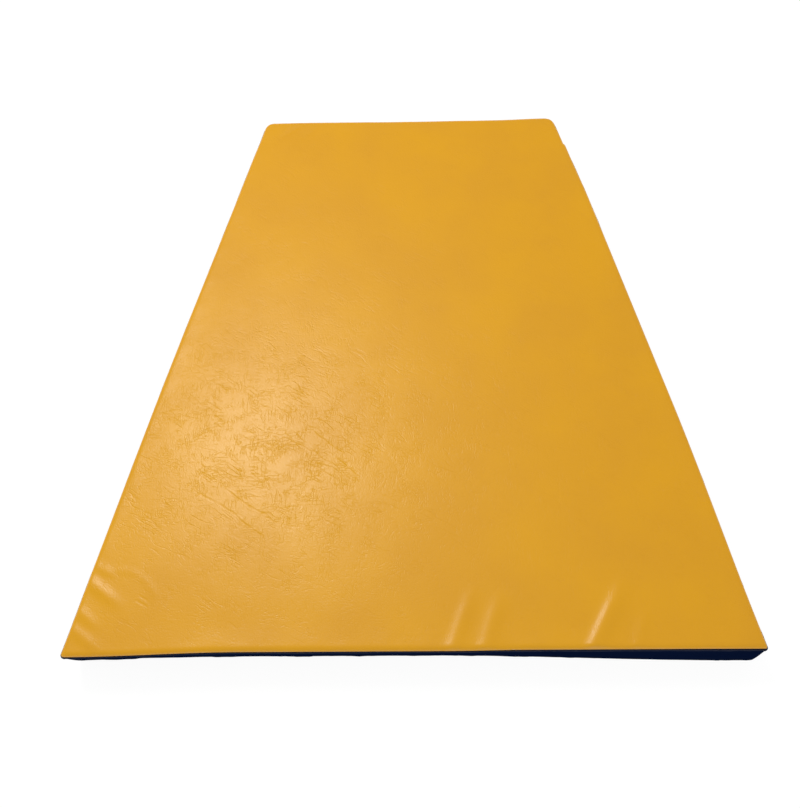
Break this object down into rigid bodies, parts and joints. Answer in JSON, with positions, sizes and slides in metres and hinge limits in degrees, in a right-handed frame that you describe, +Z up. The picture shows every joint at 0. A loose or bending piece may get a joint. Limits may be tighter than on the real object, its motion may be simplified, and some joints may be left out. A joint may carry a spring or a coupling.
{
  "type": "trapezoid gymnastics mat",
  "caption": "Flat trapezoid foam floor mat in a sewn vinyl cover that closes with a zip along one slanted side wall.",
  "frame": {"origin": "centre of the mat's bounding box, on the floor", "axes": "+Z up, -Y towards the wide end, +X towards the side wall with the zip"},
  "size_m": [0.997, 1, 0.08],
  "materials": {
    "yellow_vinyl": "glossy crushed-grain vinyl, ochre yellow",
    "navy_vinyl": "satin grained vinyl, navy blue",
    "soft_foam": "open-cell upholstery foam",
    "firm_foam": "closed-cell foam sheet",
    "zip_tape": "woven polyester tape",
    "zip_teeth": "moulded acetal",
    "zip_metal": "cast zinc, nickel plated"
  },
  "bodies": {
    "mat": {"core_base": "soft_foam", "core_top": "firm_foam", "top_panel": "yellow_vinyl", "bottom_panel": "navy_vinyl", "side_band": "navy_vinyl", "zip_strip_upper": "navy_vinyl", "zip_strip_lower": "navy_vinyl", "zip_end_tab_wide": "navy_vinyl", "zip_end_tab_narrow": "navy_vinyl", "zip_tape_upper": "zip_tape", "zip_tape_lower": "zip_tape", "zip_teeth_upper": "zip_teeth", "zip_teeth_lower": "zip_teeth", "zip_top_stop_upper": "zip_metal", "zip_top_stop_lower": "zip_metal", "zip_bottom_stop": "zip_metal"},
    "slider": {"zip_slider": "zip_metal"},
    "pull": {"zip_pull": "zip_metal"}
  },
  "joints": [
    {"name": "zip_slide", "type": "slide", "parent": "mat", "child": "slider", "axis": [0.2195, -0.9756, 0], "range_m": [0, 0.8456]},
    {"name": "pull_hinge", "type": "hinge", "parent": "slider", "child": "pull", "pos_m": [0.29759, 0.40807, 0.04], "axis": [0, 0, 1], "range_deg": [0, 180]}
  ]
}
